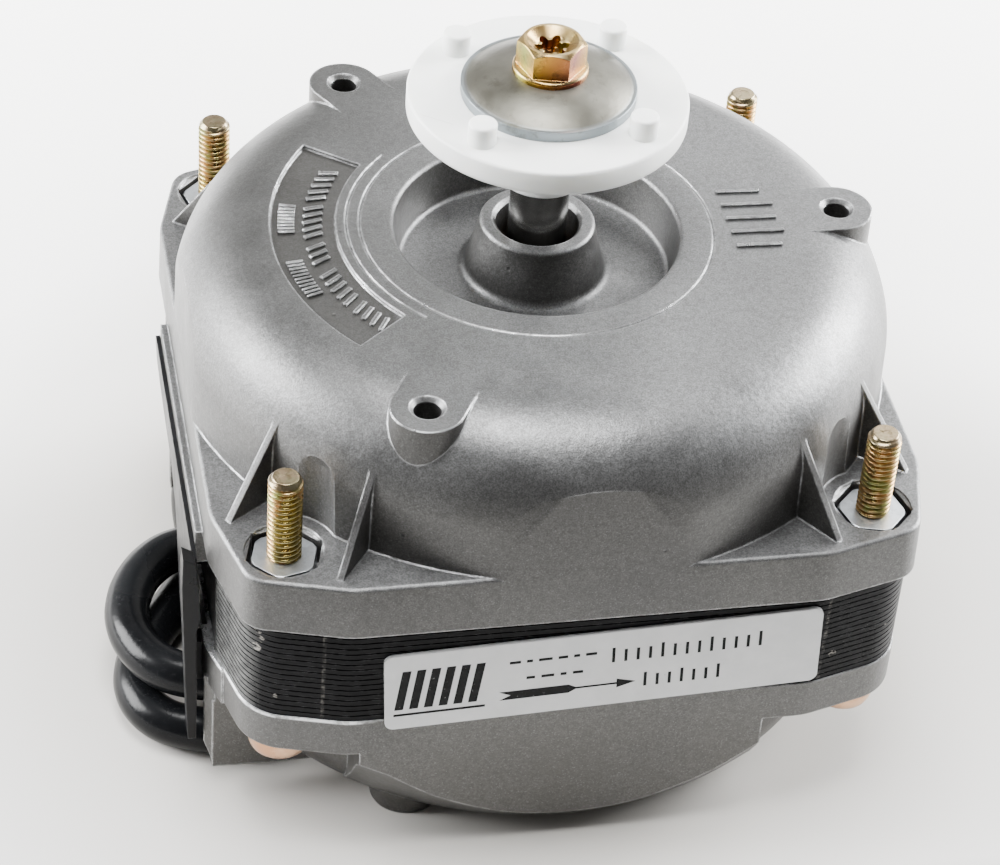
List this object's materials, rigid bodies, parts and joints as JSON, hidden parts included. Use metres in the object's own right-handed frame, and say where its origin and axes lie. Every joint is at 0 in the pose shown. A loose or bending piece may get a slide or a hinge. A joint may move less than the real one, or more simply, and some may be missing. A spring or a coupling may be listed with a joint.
{
  "type": "fan motor",
  "caption": "Square flanged shaded-pole fan motor with die-cast end covers, corner mounting studs, a fan adapter disc on its shaft and a mains lead from a side terminal pocket.",
  "frame": {"origin": "on the shaft axis, at the rear cover's flat face that the motor rests on", "axes": "+Z along the shaft towards the fan adapter, -Y towards the labelled front side, -X towards the terminal side with the lead"},
  "size_m": [0.0982, 0.1533, 0.0864],
  "materials": {
    "die_cast": "as die cast, satin with bright flash edges",
    "lamination": "black varnished laminations",
    "copper": "enamelled copper",
    "rotor_steel": "turned laminations",
    "rotor_aluminium": "as cast",
    "shaft_steel": "ground",
    "bronze": "sintered, oiled",
    "spring_steel": "pressed",
    "felt": "oiled wool felt",
    "fibre": "vulcanised fibre",
    "yellow_zinc": "yellow passivated zinc",
    "zinc": "blue-white zinc",
    "white_nylon": "moulded, slightly translucent",
    "label": "printed polyester film",
    "black_plastic": "moulded satin",
    "black_rubber": "moulded",
    "cord_jacket": "PVC sheath",
    "core_brown": "PVC insulation",
    "core_blue": "PVC insulation",
    "core_earth": "green and yellow PVC insulation",
    "tinned": "tinned copper",
    "bobbin_nylon": "glass filled nylon"
  },
  "bodies": {
    "housing": {"front_cover": "die_cast", "rear_cover": "die_cast", "stator_stack": "lamination", "shading_rings": "copper", "front_bearing": "bronze", "rear_bearing": "bronze", "front_bearing_retainer": "spring_steel", "rear_bearing_retainer": "spring_steel", "front_oil_felt": "felt", "rear_oil_felt": "felt", "through_bolts": "yellow_zinc", "bolt_nuts": "zinc", "front_label": "label", "terminal_lid": "black_plastic", "cord_gland": "black_rubber", "cord_run": "cord_jacket", "cord_coil": "cord_jacket", "cord_tail": "cord_jacket", "cord_tie": "black_plastic", "core_brown": "core_brown", "core_blue": "core_blue", "core_earth": "core_earth", "core_ferrules": "tinned", "bobbin_right": "bobbin_nylon", "bobbin_back": "bobbin_nylon", "bobbin_left": "bobbin_nylon", "bobbin_front": "bobbin_nylon", "winding_right": "copper", "winding_back": "copper", "winding_left": "copper", "winding_front": "copper"},
    "rotor": {"shaft": "shaft_steel", "rotor_core": "rotor_steel", "rotor_cage": "rotor_aluminium", "front_thrust_washer": "fibre", "rear_thrust_washer": "fibre", "fan_adapter": "white_nylon", "adapter_washer": "zinc", "adapter_screw": "yellow_zinc"}
  },
  "joints": [
    {"name": "rotor_spin", "type": "hinge", "parent": "housing", "child": "rotor", "pos_m": [0, 0, 0.04], "axis": [0, 0, 1], "continuous": true}
  ]
}
